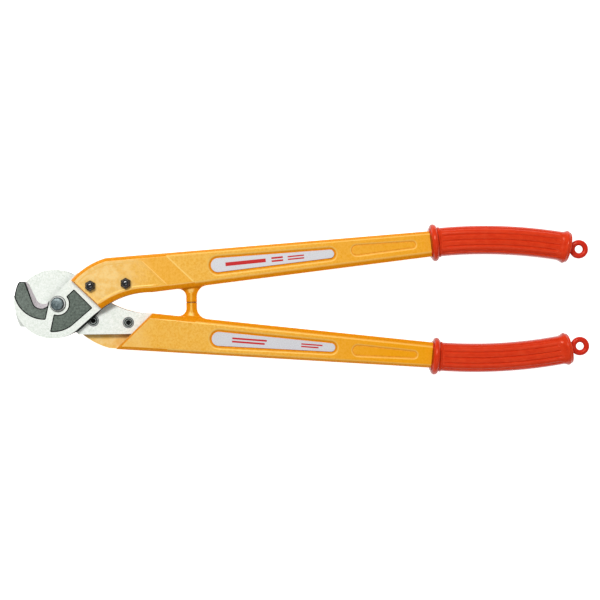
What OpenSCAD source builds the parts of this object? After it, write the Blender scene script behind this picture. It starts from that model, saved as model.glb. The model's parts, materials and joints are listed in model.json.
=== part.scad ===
// Long-handled cable cutter, lying closed on its side.
// Two equal halves turn on one pivot bolt. Each half is a hook blade, a moulded handle that laps
// over the blade's tang, two screws with cap nuts, a grip sleeve and a hanging eye.
// The lower half is the upper half turned over about the long axis, so each shape is written once.
// Half coordinates: pivot at the origin, +X to the grips, +Y away from the other half,
// and z = 0 on the plane where the two blades slide on each other.

/* [Blades] */
// Thickness of one blade
blade_t = 7; // [6:0.5:8]
// Thickness of the hook inside its painted recess
hook_t = 4.5; // [3.5:0.5:5]
// Depth of the closed pocket beside the pivot
pocket_depth = 2.5; // [1:0.5:3]
// Radius of the hook's outer edge
hook_r = 40.4; // [40:0.1:41]
// Width of the ground rim around the closed pocket
rim_w = 6.6; // [5:0.2:7]
// Radius at the bottom of the throat
throat_r = 8.5; // [8:0.1:9]
// Free play between the two blades
blade_gap = 0.1; // [0.06:0.02:0.3]

/* [Pivot] */
// Diameter of the pivot bolt's shank
bolt_d = 12; // [10:1:12]
// Diameter of the bolt's round head
bolt_head_d = 13.6; // [13:0.2:15]
// Diameter of the washer under the head
washer_d = 17; // [16:0.5:18]
// Radial running clearance of the turning blade on the bolt
running_fit = 0.05; // [0.02:0.01:0.1]

/* [Handles] */
// Thickness of the handle's long stretch
handle_t = 21; // [18:1:24]
// Thickness of the lap that covers the tang
lap_t = 6; // [5:0.5:7]
// Slope angle of the handle's outer edge
outer_slope = 4.1; // [3.9:0.05:4.2]
// Slope angle of the handle's inner edge
inner_slope = 6.6; // [6.4:0.05:6.8]
// Direction of the lap's front edge, shoulder and ramp lines
slant = 46; // [44:1:48]

/* [Stop posts] */
// Distance from the pivot to the stop posts
post_x = 138.6; // [130:0.2:150]
// Width across the flats of a post
post_w = 10.8; // [9:0.2:12]
// Radius of the fillets at a post's root
post_fillet = 10; // [6:1:12]

/* [Fasteners] */
// Diameter of the tang screws
screw_d = 6; // [5:0.5:6]
// Diameter of a countersunk screw head
screw_head_d = 12; // [11:0.5:12]
// Width across the flats of a cap nut
nut_af = 10; // [9:0.5:11]
// Height of a cap nut
nut_h = 7; // [6:0.5:8]

/* [Grips] */
// Width of a grip in the plane of the tool
grip_w = 29.6; // [28:0.2:31]
// Thickness of a grip
grip_t = 25; // [24:0.5:27]
// Wall of the grip sleeve
sleeve_wall = 2.2; // [1.8:0.1:2.6]
// Bending radius of a grip
grip_bend_r = 500; // [450:10:600]
// Diameter of the collar that guards the hand
collar_d = 39; // [36:0.5:40]
// Diameter of the flange at the grip's end
flange_d = 34.2; // [32:0.2:36]
// Length from the collar to the end flange
grip_length = 138; // [120:1:140]

/* [Hanging eyes] */
// Outer diameter of an eye
eye_d = 19.6; // [18:0.2:21]
// Diameter of an eye's hole
eye_hole_d = 8.6; // [8:0.2:9]
// Thickness of an eye
eye_t = 6; // [5:0.5:7]

/* [Name plates] */
// Thickness of a name plate
plate_t = 0.5; // [0.3:0.1:0.8]
// Depth of the recess that holds it
plate_recess = 1.2; // [1:0.1:1.5]
// Depth of the plain recess beside it
plain_recess = 0.7; // [0.5:0.1:1]

/* [Hidden] */
$fn = 64;

// Small overshoot of a cutting shape past the face it cuts
over = 1;
// Thickness of a flat shape that only serves as one end of a hull
skin = 0.01;
// Longer than any section of the tool, for slabs that only limit a shape
far = 700;

// Heights above the blades' sliding plane
face_z = blade_gap / 2;
lap_z = blade_t + lap_t;
half_t = handle_t / 2;

// Blade: centres and end points of its outline
hook_centre = [-5.5, 4.4];
throat_centre = [-16.3, 8.6];
boss_r = 8.7;
boss_from = 135;
boss_to = 160;
throat_from = -38;
throat_lean = 115.2;
throat_top_y = 20.5;
bevel_centre = [-18, 4.6];
bevel_r = 9.2;
bevel_lean = 110.7;
bevel_run = 40;
tip_inner = [-34.2, 23.5];
tip_outer = [-40.6, 23.5];
tip_side = [-42, 21.8];
heel_angle = 299;
heel_side = [19.8, -28.9];
heel_end = [38.9, -12.3];
tang_edge_y = 32.3;
tang_front_x = 20;
tang_arch_start = 127.5;
recess_centre = [-14, 16];
recess_r = 32.4;
recess_foot = [-13.2, -17];
recess_top = [-8.7, 2.8];
recess_bend = [-11, 9];
recess_open_side = [[-20, 40], [-60, 40]];
pocket_inner_r = 11.4;
pocket_inner_from = 41;
pocket_inner_to = -113.5;
pocket_top = [16.8, 15.1];
pocket_right = [36, -4.6];
pocket_outer_from = -95.3;
pocket_outer_to = -56;
corner_r = 1.2;

// Handle: arcs of its front end, and where the long straight edges start
nose_centre = [71.2, -25.7];
nose_r = 75.6;
nose_end = [51, 47];
nose_start = 139;
arch_centre = [95.6, -73.4];
arch_r = 84.4;
arch_start = 128;
arch_end = 89;
// How far each edge's end lies from the grip's start, which is cut square to the grip
outer_end = -1.2;
inner_end = 1.4;
// How far a stop post reaches into the handle
post_root = 6;

// Distances of the slanted lines from the pivot
lap_front = 27.5;
shoulder = 76;
ramp_start = 93;
ramp_end = 114;

// Grip: place and heading of the collar, from which the bent grip is measured
collar_at = [392.8, 59.3];
collar_heading = 5.4;
collar_half = 3.5;
sleeve_start = -4.5;
flange_half = 3.6;
core_w = grip_w - 2 * sleeve_wall;
core_t = grip_t - 2 * sleeve_wall;
core_corner = 5;
grip_corner = 9;
tenon_r = 7;
eye_reach = 14.4;
eye_shank_r = 3.4;
eye_shank_l = 12;
eye_round = 1.5;

// Tang screws
screw_front = [35.3, 18.25];
screw_rear = [72, 20.5];
screw_hole_r = screw_d / 2 + 0.2;
head_sink = 0.2;
socket_r = 2.3;
socket_depth = 2.2;
nut_hex_h = 4;
nut_dome_r = 4.6;
nut_dome_root = 0.5;

// Pivot stack behind the rear blade
spring_washer_t = 2;
spring_washer_d = 21;
spring_gap = 1.2;
spring_gap_at = 200;
pivot_nut_af = 18;
pivot_nut_h = 8;
washer_t = 1.2;
bolt_head_h = 4.2;
bolt_crown_r = 27.2;
bolt_end = 1;

// Name plates: end circles of the two tapered recesses
plate_a = [167.1, 38.3];
plate_a_r = 7.3;
plate_b = [283.6, 48.6];
plate_b_r = 4.4;
plate_margin = 2.4;
plain_a = [311.5, 52];
plain_a_r = 6.7;
plain_b = [369.3, 57.1];
plain_b_r = 4.8;

// The finished tool: origin under its middle, on the surface it lies on
tool_left = hook_centre.x - hook_r;
flange_at = grip_point(grip_length);
flange_dir = grip_heading(grip_length);
eye_at = flange_at + eye_reach * [cos(flange_dir), sin(flange_dir)];
tool_right = eye_at.x + eye_d / 2;
tool_middle = (tool_left + tool_right) / 2;
rest_z = lap_z + nut_h;

function arc(c, r, a0, a1, n = 24) =
    [for (i = [0:n]) c + r * [cos(a0 + (a1 - a0) * i / n), sin(a0 + (a1 - a0) * i / n)]];
function angle_from(c, p) = atan2(p.y - c.y, p.x - c.x);
function grip_heading(s) = collar_heading - s * 180 / (PI * grip_bend_r);
function grip_centre() =
    collar_at + grip_bend_r * [sin(collar_heading), -cos(collar_heading)];
function grip_point(s) =
    grip_centre() + grip_bend_r * [-sin(grip_heading(s)), cos(grip_heading(s))];
function outer_y(x) = nose_end.y + (x - nose_end.x) * tan(outer_slope);
function arch_point() = arch_centre + arch_r * [cos(arch_end), sin(arch_end)];
function inner_y(x) = arch_point().y + (x - arch_point().x) * tan(inner_slope);

// ---- placing ----

module in_tool() translate([-tool_middle, 0, rest_z]) children();
module upper() in_tool() children();
module lower() in_tool() rotate([180, 0, 0]) children();

// Children at arc length s along a grip, with +X along the grip
module at_grip(s) {
    p = grip_point(s);
    translate([p.x, p.y, 0]) rotate([0, 0, grip_heading(s)]) children();
}

// A 2D section swept along the grip's bend from arc length s0 to s1
module along_grip(s0, s1) {
    c = grip_centre();
    translate([c.x, c.y, 0])
        rotate([0, 0, 90 + grip_heading(s1)])
            rotate_extrude(angle = grip_heading(s0) - grip_heading(s1))
                translate([grip_bend_r, 0]) children();
}

// ---- blades ----

module blade_outline() {
    throat_end = throat_centre + throat_r * [cos(throat_lean + 90), sin(throat_lean + 90)];
    lean_run = (throat_top_y - throat_end.y) / tan(throat_lean);
    polygon(concat(
        [tip_inner, tip_outer],
        arc(hook_centre, hook_r, angle_from(hook_centre, tip_side), heel_angle, 48),
        [heel_side, heel_end],
        arc(arch_centre, arch_r, tang_arch_start, arch_end, 16),
        [shoulder_point(arch_point().y), shoulder_point(tang_edge_y)],
        [[tang_front_x, tang_edge_y]],
        arc([0, 0], boss_r, boss_from, boss_to, 6),
        arc(throat_centre, throat_r, throat_from, throat_lean - 270, 20),
        [[throat_end.x + lean_run, throat_top_y]]
    ));
}

// Point on the handle's slanted shoulder at height y
function shoulder_point(y) = [(shoulder - y * sin(slant)) / cos(slant), y];

module rounded(r) offset(r = r, $fn = 32) offset(delta = -r) children();

module hook_recess() {
    rounded(corner_r) polygon(concat(
        arc(recess_centre, recess_r, 180, angle_from(recess_centre, recess_foot) + 360, 24),
        [recess_foot, recess_top, recess_bend],
        recess_open_side
    ));
}

module closed_pocket() {
    rounded(corner_r) polygon(concat(
        [pocket_top],
        arc([0, 0], pocket_inner_r, pocket_inner_from, pocket_inner_to, 24),
        arc(hook_centre, hook_r - rim_w, pocket_outer_from, pocket_outer_to, 12),
        [pocket_right]
    ));
}

// Straight-sided slot with a round bottom, its left side leaning as the throat does
module leaning_slot(c, r, lean) {
    hull() {
        translate(c) circle(r);
        translate(c + bevel_run * [cos(lean), sin(lean)]) circle(r);
    }
}

// Tapered cut along the throat, which leaves the cutting edge on the sliding plane
module bevel_cut() {
    hull() {
        translate([0, 0, face_z]) linear_extrude(height = skin)
            leaning_slot(throat_centre, throat_r, throat_lean);
        translate([0, 0, hook_t]) linear_extrude(height = skin)
            leaning_slot(bevel_centre, bevel_r, bevel_lean);
    }
}

module screw_sink(at) {
    translate([at.x, at.y, face_z - over]) cylinder(h = blade_t + 2 * over, r = screw_hole_r);
    translate([at.x, at.y, face_z - over]) cylinder(h = over + head_sink, d = screw_head_d);
    translate([at.x, at.y, face_z + head_sink])
        cylinder(h = head_cone_h(), d1 = screw_head_d, d2 = 2 * screw_hole_r);
}

function head_cone_h() = (screw_head_d - 2 * screw_hole_r) / 2;

module blade(bore_r) {
    difference() {
        translate([0, 0, face_z]) linear_extrude(height = blade_t - face_z) blade_outline();
        translate([0, 0, hook_t]) linear_extrude(height = blade_t) hook_recess();
        translate([0, 0, blade_t - pocket_depth])
            linear_extrude(height = blade_t) closed_pocket();
        intersection() {
            bevel_cut();
            translate([0, 0, -over]) linear_extrude(height = blade_t) hook_recess();
        }
        translate([0, 0, -over]) cylinder(h = blade_t + 2 * over, r = bore_r);
        screw_sink(screw_front);
        screw_sink(screw_rear);
    }
}

module front_blade() color([0.82, 0.84, 0.81]) upper() blade(bolt_d / 2 + running_fit);
module rear_blade() color([0.82, 0.84, 0.81]) lower() blade(bolt_d / 2);

// ---- pivot ----

module pivot_bolt() {
    end_z = -blade_t - spring_washer_t - pivot_nut_h - bolt_end;
    head_z = blade_t + face_z + washer_t;
    color([0.40, 0.46, 0.48]) in_tool() {
        translate([0, 0, end_z]) cylinder(h = head_z - end_z, d = bolt_d);
        intersection() {
            translate([0, 0, head_z]) cylinder(h = bolt_head_h, d = bolt_head_d);
            translate([0, 0, head_z + bolt_head_h - bolt_crown_r]) sphere(bolt_crown_r);
        }
    }
}

module pivot_washer() {
    color([0.78, 0.80, 0.80]) in_tool() translate([0, 0, blade_t + face_z]) difference() {
        cylinder(h = washer_t, d = washer_d);
        translate([0, 0, -over]) cylinder(h = washer_t + 2 * over, d = bolt_d);
    }
}

module pivot_spring_washer() {
    color([0.55, 0.57, 0.58]) in_tool() translate([0, 0, -blade_t - spring_washer_t]) difference() {
        cylinder(h = spring_washer_t, d = spring_washer_d);
        translate([0, 0, -over]) cylinder(h = spring_washer_t + 2 * over, d = bolt_d);
        rotate([0, 0, spring_gap_at]) translate([0, -spring_gap / 2, -over])
            cube([spring_washer_d, spring_gap, spring_washer_t + 2 * over]);
    }
}

module pivot_nut() {
    color([0.35, 0.38, 0.40]) in_tool()
        translate([0, 0, -blade_t - spring_washer_t - pivot_nut_h]) difference() {
            cylinder(h = pivot_nut_h, d = pivot_nut_af / cos(30), $fn = 6);
            translate([0, 0, -over]) cylinder(h = pivot_nut_h + 2 * over, d = bolt_d);
        }
}

// ---- handles ----

module handle_outline() {
    body_end = collar_at.x + sleeve_start;
    polygon(concat(
        arc(nose_centre, nose_r, nose_start, angle_from(nose_centre, nose_end), 16),
        [[body_end + outer_end, outer_y(body_end)], [body_end + inner_end, inner_y(body_end)]],
        arc(arch_centre, arch_r, arch_end, arch_start, 16)
    ));
}

// Side view across the slanted lines: lap, ramp, long body and shoulder
module handle_side() {
    rotate([0, 0, slant]) rotate([90, 0, 0]) linear_extrude(height = far, center = true)
        polygon([
            [lap_front, blade_t], [lap_front, lap_z],
            [ramp_start, lap_z], [ramp_end, half_t],
            [far, half_t], [far, -half_t],
            [shoulder, -half_t], [shoulder, blade_t]
        ]);
}

module stop_post() {
    side = post_w / 2;
    reach = side + post_fillet;
    left_y = inner_y(post_x - reach);
    right_y = inner_y(post_x + reach);
    translate([post_x, face_z, 0]) rotate([-90, 0, 0]) rotate([0, 0, 22.5])
        cylinder(h = inner_y(post_x) + post_root, d = post_w / cos(22.5), $fn = 8);
    translate([post_x, 0, -side / 2]) linear_extrude(height = side)
        polygon(concat(
            [[-reach, left_y + post_root]],
            arc([-reach, left_y - post_fillet], post_fillet, 90, 0, 12),
            arc([reach, right_y - post_fillet], post_fillet, 180, 90, 12),
            [[reach, right_y + post_root]]
        ));
}

module tapered_slot(a, ra, b, rb, margin = 0) {
    hull() {
        translate(a) circle(ra + margin, $fn = 48);
        translate(b) circle(rb + margin, $fn = 48);
    }
}

module face_recesses() {
    translate([0, 0, half_t - plate_recess]) linear_extrude(height = handle_t)
        tapered_slot(plate_a, plate_a_r, plate_b, plate_b_r, plate_margin);
    translate([0, 0, half_t - plain_recess]) linear_extrude(height = handle_t)
        tapered_slot(plain_a, plain_a_r, plain_b, plain_b_r);
}

module grip_section(w, t, r) offset(r = r, $fn = 32) square([w - 2 * r, t - 2 * r], center = true);

// The handle's end inside the sleeve, with a round tenon that shows at the grip's end
module handle_core() {
    along_grip(sleeve_start, grip_length - flange_half) grip_section(core_w, core_t, core_corner);
    at_grip(grip_length) rotate([0, 90, 0])
        translate([0, 0, -flange_half - over]) cylinder(h = 2 * flange_half + over, r = tenon_r);
}

module handle() {
    difference() {
        union() {
            intersection() {
                translate([0, 0, -far / 2]) linear_extrude(height = far) handle_outline();
                handle_side();
            }
            stop_post();
            handle_core();
        }
        for (at = [screw_front, screw_rear])
            translate([at.x, at.y, 0]) cylinder(h = lap_z + over, r = screw_hole_r);
        face_recesses();
        mirror([0, 0, 1]) face_recesses();
        at_grip(grip_length) rotate([0, 90, 0])
            translate([0, 0, flange_half - eye_shank_l])
                cylinder(h = eye_shank_l + over, r = eye_shank_r);
    }
}

module upper_handle() color([0.95, 0.68, 0.22]) upper() handle();
module lower_handle() color([0.95, 0.68, 0.22]) lower() handle();

// ---- fasteners ----

module tang_screw(at) {
    head_z = face_z + head_sink;
    color([0.45, 0.48, 0.50]) translate([at.x, at.y, 0]) difference() {
        union() {
            translate([0, 0, head_z])
                cylinder(h = head_cone_h(), d1 = screw_head_d, d2 = 2 * screw_hole_r);
            translate([0, 0, head_z]) cylinder(h = lap_z + nut_hex_h - head_z, d = screw_d);
        }
        translate([0, 0, -over]) cylinder(h = socket_depth + over, r = socket_r, $fn = 6);
    }
}

module cap_nut(at) {
    dome_h = nut_h - nut_hex_h;
    ball_r = (nut_dome_r * nut_dome_r + dome_h * dome_h) / (2 * dome_h);
    color([0.10, 0.10, 0.11]) translate([at.x, at.y, lap_z]) difference() {
        union() {
            cylinder(h = nut_hex_h, d = nut_af / cos(30), $fn = 6);
            intersection() {
                translate([0, 0, nut_h - ball_r]) sphere(ball_r);
                translate([0, 0, nut_hex_h - nut_dome_root]) cylinder(h = nut_h, r = nut_dome_r);
            }
        }
        translate([0, 0, -over]) cylinder(h = nut_hex_h + over, d = screw_d);
    }
}

module upper_front_tang_screw() upper() tang_screw(screw_front);
module upper_rear_tang_screw() upper() tang_screw(screw_rear);
module lower_front_tang_screw() lower() tang_screw(screw_front);
module lower_rear_tang_screw() lower() tang_screw(screw_rear);
module upper_front_cap_nut() upper() cap_nut(screw_front);
module upper_rear_cap_nut() upper() cap_nut(screw_rear);
module lower_front_cap_nut() lower() cap_nut(screw_front);
module lower_rear_cap_nut() lower() cap_nut(screw_rear);

// ---- grips and hanging eyes ----

// Round bead with a half-round rim, standing across the grip
module bead(d, half) {
    rotate([0, 90, 0]) rotate_extrude() union() {
        translate([0, -half]) square([d / 2 - half, 2 * half]);
        translate([d / 2 - half, 0]) intersection() {
            circle(half, $fn = 48);
            translate([0, -half]) square([half, 2 * half]);
        }
    }
}

module grip() {
    color([0.84, 0.24, 0.12]) difference() {
        union() {
            along_grip(sleeve_start, grip_length) grip_section(grip_w, grip_t, grip_corner);
            at_grip(0) bead(collar_d, collar_half);
            at_grip(grip_length) bead(flange_d, flange_half);
        }
        handle_core();
    }
}

module hang_eye() {
    hole_r = eye_hole_d / 2;
    outer_r = eye_d / 2;
    color([0.86, 0.16, 0.10]) at_grip(grip_length) {
        translate([eye_reach, 0, 0]) rotate_extrude() polygon([
            [hole_r, -eye_t / 2 + eye_round], [hole_r + eye_round, -eye_t / 2],
            [outer_r - eye_round, -eye_t / 2], [outer_r, -eye_t / 2 + eye_round],
            [outer_r, eye_t / 2 - eye_round], [outer_r - eye_round, eye_t / 2],
            [hole_r + eye_round, eye_t / 2], [hole_r, eye_t / 2 - eye_round]
        ]);
        difference() {
            rotate([0, 90, 0]) translate([0, 0, flange_half - eye_shank_l])
                cylinder(h = eye_shank_l + eye_reach - flange_half, r = eye_shank_r);
            translate([eye_reach, 0, -eye_t]) cylinder(h = 2 * eye_t, r = hole_r + eye_round);
        }
    }
}

module upper_grip() upper() grip();
module lower_grip() lower() grip();
module upper_hang_eye() upper() hang_eye();
module lower_hang_eye() lower() hang_eye();

// ---- name plates: both are on the same side of the tool ----

module name_plate() {
    color([0.84, 0.84, 0.86]) translate([0, 0, half_t - plate_recess])
        linear_extrude(height = plate_t) tapered_slot(plate_a, plate_a_r, plate_b, plate_b_r);
}

module upper_name_plate() in_tool() name_plate();
module lower_name_plate() in_tool() mirror([0, 1, 0]) name_plate();

front_blade();
rear_blade();
pivot_bolt();
pivot_washer();
pivot_spring_washer();
pivot_nut();
upper_handle();
lower_handle();
upper_front_tang_screw();
upper_rear_tang_screw();
lower_front_tang_screw();
lower_rear_tang_screw();
upper_front_cap_nut();
upper_rear_cap_nut();
lower_front_cap_nut();
lower_rear_cap_nut();
upper_grip();
lower_grip();
upper_hang_eye();
lower_hang_eye();
upper_name_plate();
lower_name_plate();
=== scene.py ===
import json
import math

import bmesh
import bpy
from mathutils import Matrix, Vector

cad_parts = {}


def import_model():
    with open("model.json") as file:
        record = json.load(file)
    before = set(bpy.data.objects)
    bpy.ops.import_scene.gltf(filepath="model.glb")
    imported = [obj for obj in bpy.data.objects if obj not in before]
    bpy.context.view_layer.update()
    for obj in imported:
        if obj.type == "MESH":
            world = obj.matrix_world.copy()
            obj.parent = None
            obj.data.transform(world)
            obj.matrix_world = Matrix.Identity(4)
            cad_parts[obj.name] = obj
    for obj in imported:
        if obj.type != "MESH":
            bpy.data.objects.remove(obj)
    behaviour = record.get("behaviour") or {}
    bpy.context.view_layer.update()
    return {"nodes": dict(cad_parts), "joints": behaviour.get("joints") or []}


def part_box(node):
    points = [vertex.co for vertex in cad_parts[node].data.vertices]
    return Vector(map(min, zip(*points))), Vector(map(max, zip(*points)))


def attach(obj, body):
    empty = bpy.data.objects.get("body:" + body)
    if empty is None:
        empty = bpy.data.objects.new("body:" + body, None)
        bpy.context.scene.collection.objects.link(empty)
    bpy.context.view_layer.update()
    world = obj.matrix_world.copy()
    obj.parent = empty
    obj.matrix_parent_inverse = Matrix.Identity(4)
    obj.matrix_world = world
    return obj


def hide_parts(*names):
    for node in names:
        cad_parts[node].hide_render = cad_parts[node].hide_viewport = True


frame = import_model()

# Shapes are written in millimetres in half coordinates: the pivot is the origin, +X runs to the
# grips, +Y away from the other half, and z = 0 is the plane where the two blades slide.
MM = 0.001
PIVOT = Vector(frame["joints"][0]["pos_m"])
LOWER, UPPER = "lower_half", "upper_half"
HALF_NAMES = {UPPER: "upper", LOWER: "lower"}

# Handle
SLANT = 46
LAP_FRONT = 27.5
SHOULDER = 76
RAMP_START = 93
RAMP_END = 114
RAMP_CUTS = (RAMP_START - 0.1, RAMP_START + 0.9, RAMP_END - 0.6, RAMP_END + 0.6)
NOSE_CENTRE = Vector((71.2, -25.7))
NOSE_R = 75.6
NOSE_END = Vector((51, 47))
OUTER_SLOPE = 4.1
CORNER_CLEAR = 2.5
ARCH_CENTRE = Vector((95.6, -73.4))
ARCH_R = 84.4
ARCH_END = 89
INNER_SLOPE = 6.6
TANG_TOP = 7
PAD_Z = 13
PAD_SUNK = 0.35
FACE_Z = 10.5
RIM_W = 5.2
RIM_DROP = 3.3
# (share of the rim's width, share of its drop), from the outline to the crease at the face
RIM_SHAPE = ((0.0, 1.0), (0.03, 0.93), (0.1, 0.83), (0.3, 0.58),
             (0.55, 0.3), (0.78, 0.1), (0.9, 0.025), (1.0, 0.0))
RIM_SHARE_LAP_FRONT = 0.3
RIM_SHARE_SHOULDER = 0.5
RIM_SHARE_END = 0.1
RIM_SHARE_OUTER = 0.75
RIM_SHARE_INNER = 1.1

# Stop post
POST_X = 138.6
POST_HALF = 5.4
POST_FILLET = 10
POST_GAP = 0.02
POST_NOTCH = 0.3
POST_NOTCH_DEPTH = 0.4
POST_ROOT = 5
POST_STEPS = 12

# Label recesses: end circles of the tapered slots, and their depths
PLATE_SLOT = (Vector((167.1, 38.3)), 7.3, Vector((283.6, 48.6)), 4.4)
PLATE_MARGIN = 2.4
PLATE_SINK = 1.2
PLATE_FLARE = 0.9
PLATE_T = 0.5
PLAIN_SLOT = (Vector((311.5, 52)), 6.7, Vector((369.3, 57.1)), 4.8)
PLAIN_SINK = 0.7
PLAIN_WALL = 1.7
PLATE_MOAT = 0.6
PLAIN_MOAT = 0.35
# (share of the margin or wall, share of the depth) down a recess's wall
RECESS_SHAPE = ((0.8, 0.0), (0.3, 0.06), (-0.15, 0.2), (-0.5, 0.58), (-0.85, 0.93), (-1.0, 1.0))
# Pinstripes on the plates: (start, end, offset, half width)
UPPER_STRIPES = [(8, 50, 0, 1.9), (56, 68, 1.6, 0.9), (56, 68, -1.6, 0.9),
                 (73, 90, 1.4, 0.7), (73, 90, -1.4, 0.7)]
LOWER_STRIPES = [(14, 50, 1.7, 0.9), (14, 48, -1.7, 0.9), (86, 108, 1.3, 0.7), (86, 104, -1.3, 0.7)]

# Grip
COLLAR_AT = Vector((392.8, 59.3))
COLLAR_HEADING = 5.4
BEND_R = 500
GRIP_LENGTH = 138
SLEEVE_START = -4.5
SLEEVE_HALF_W = 14.8
SLEEVE_HALF_T = 12.5
SLEEVE_CORNER = 9
SLEEVE_WALL = 2.2
CORE_CORNER = 5
COLLAR_R = 19.5
COLLAR_HALF = 3.4
FLANGE_R = 17.1
FLANGE_HALF = 3.6
TENON_R = 7
GROOVE_PITCH = 5.8
GROOVE_COUNT = 5
GROOVE_HALF = 1.6
GROOVE_DEPTH = 0.95
GROOVE_FIRST = 9
GROOVE_LAST = 129

# Hanging eye
EYE_REACH = 14.4
EYE_RING_R = 6.9
EYE_RING_HALF_W = 2.95
EYE_RING_HALF_T = 3
EYE_SHANK_R = 3.3
# (distance from the ring's middle, spread) along the shank
EYE_SHANK = ((-EYE_REACH - 6, 1.0), (-EYE_REACH + FLANGE_HALF, 1.0), (-9.6, 1.12), (-7.2, 1.3), (-5.6, 1.3))
EYE_SIDES = 24
EYE_VOXEL = 0.28

# Blades
BLADES = {UPPER: ("front_blade", "front_blade_ground"), LOWER: ("rear_blade", "rear_blade_ground")}
HOOK_T = 4.5
WALL_DRAFT = 1.1
WALL_FOOT = 2.2
HEEL_FACING = Vector((16.6, -19.1)).normalized()
HEEL_DRAFT = 1.5
HEEL_MIN_AREA = 30

# Fasteners
SCREWS = {"front": Vector((35.3, 18.25)), "rear": Vector((72, 20.5))}
SCREW_HEAD_R = 6
SCREW_SHANK_R = 3
SCREW_TOP = 0.25
SOCKET_R = 2.3
SOCKET_DEPTH = 2.2
BOLT_HEAD_H = 4.2
BOLT_SHANK_R = 6
PIVOT_BORE_R = 6.02
NUT_FLATS = 10
NUT_HEX_H = 4
NUT_H = 7
NUT_DOME_R = 4.3

# Camera, in metres and degrees
CAMERA_AT = (-0.00215, 0.00105, PIVOT.z + 1.2)
CAMERA_TURN = -0.69
CAMERA_LENS = 68.77

# Lights: place, size and power
KEY_LIGHT = ((-0.35, 1.0, 1.7), (1.4, 0.45), 30.5)
FILL_LIGHT = ((0.3, -0.9, 1.9), (1.6, 0.9), 6)
ROOM_LIGHT = 0.28
FLOOR_HALF = 14.0
FLOOR_GLOW = 0.9


# ---- points and outlines ----

def direction(degrees):
    a = math.radians(degrees)
    return Vector((math.cos(a), math.sin(a)))


def arc(centre, radius, start, end, steps):
    return [centre + radius * direction(start + (end - start) * i / steps) for i in range(steps + 1)]


def angle_from(centre, point):
    return math.degrees(math.atan2(point.y - centre.y, point.x - centre.x))


def along_slant(p):
    """Distance from the pivot, measured square to the handle's slanted lines."""
    return Vector(p[:2]).dot(direction(SLANT))


def crossed(loop, u):
    """The loop with a point added wherever it crosses the slanted line at distance u."""
    points = []
    for a, b in zip(loop, loop[1:] + loop[:1]):
        points.append(a)
        ua, ub = along_slant(a) - u, along_slant(b) - u
        if ua * ub < 0 and min(abs(ua), abs(ub)) > 1e-4:
            points.append(a.lerp(b, ua / (ua - ub)))
    return points


def beyond(loop, u):
    return [p for p in crossed(loop, u) if along_slant(p) > u - 1e-5]


def before(loop, u):
    return [p for p in crossed(loop, u) if along_slant(p) < u + 1e-5]


def uncrowded(loop, *lines):
    """The loop without points that lie close to a corner on one of the slanted lines."""
    kept = []
    for p in loop:
        gap = min(abs(along_slant(p) - u) for u in lines)
        if gap < 1e-3 or gap > CORNER_CLEAR:
            kept.append(p)
    return kept


def inset(loop, distance, share=lambda a, b: 1.0):
    """A clockwise loop moved inwards; share gives each edge its part of the distance."""
    moved = []
    for before_p, p, after_p in zip(loop[-1:] + loop[:-1], loop, loop[1:] + loop[:1]):
        d1 = distance * share(before_p, p)
        d2 = distance * share(p, after_p)
        e1, e2 = (p - before_p).normalized(), (after_p - p).normalized()
        n1, n2 = Vector((e1.y, -e1.x)), Vector((e2.y, -e2.x))
        c = n1.dot(n2)
        if abs(d1 - d2) < 1e-9 or c > 0.95:
            moved.append(p + (n1 + n2) * (d1 + d2) / 2 / (1 + c))
        else:
            moved.append(p + (n1 * (d1 - d2 * c) + n2 * (d2 - d1 * c)) / (1 - c * c))
    return moved


def tapered_slot(slot, margin=0.0, steps=20):
    """Outline around two circles of different sizes, clockwise."""
    a, ra, b, rb = slot
    axis = angle_from(a, b)
    lean = math.degrees(math.acos((ra - rb) / (b - a).length))
    around_b = arc(b, rb + margin, axis + lean, axis - lean, steps)
    around_a = arc(a, ra + margin, axis - lean, axis + lean - 360, steps)
    return around_b + around_a


def outer_y(x):
    return NOSE_END.y + (x - NOSE_END.x) * math.tan(math.radians(OUTER_SLOPE))


def inner_y(x):
    start = ARCH_CENTRE + ARCH_R * direction(ARCH_END)
    return start.y + (x - start.x) * math.tan(math.radians(INNER_SLOPE))


def handle_outline():
    end_x = COLLAR_AT.x + SLEEVE_START + 1
    nose = arc(NOSE_CENTRE, NOSE_R, 141, angle_from(NOSE_CENTRE, NOSE_END), 40)
    arch = arc(ARCH_CENTRE, ARCH_R, ARCH_END, 129, 40)
    end = [Vector((end_x, outer_y(end_x))), Vector((end_x + 2.6, inner_y(end_x + 2.6)))]
    return beyond(nose + end + arch, LAP_FRONT)


# ---- mesh building ----

def ring(bm, points, z=0.0):
    return [bm.verts.new((p[0], p[1], p[2] if len(p) > 2 else z)) for p in points]


def band(bm, a, b):
    for i in range(len(a)):
        j = (i + 1) % len(a)
        bm.faces.new((a[i], a[j], b[j], b[i]))


def fill(bm, *rings):
    edges = []
    for verts in rings:
        for a, b in zip(verts, verts[1:] + verts[:1]):
            edges.append(bm.edges.get((a, b)) or bm.edges.new((a, b)))
    bmesh.ops.triangle_fill(bm, use_beauty=True, edges=edges, normal=(0, 0, 1))


def loft(bm, rings, caps=True):
    for a, b in zip(rings, rings[1:]):
        band(bm, a, b)
    if caps:
        bm.faces.new(rings[0])
        bm.faces.new(rings[-1][::-1])


def stepped(bm, loops, sign=1):
    """Rings for a recess or rim, from (points, z) pairs, joined by bands. Returns the rings."""
    rings = [ring(bm, points, sign * z) for points, z in loops]
    for a, b in zip(rings, rings[1:]):
        band(bm, a, b)
    return rings


def linked(name, data):
    made = bpy.data.objects.new(name, data)
    bpy.context.scene.collection.objects.link(made)
    return made


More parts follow.
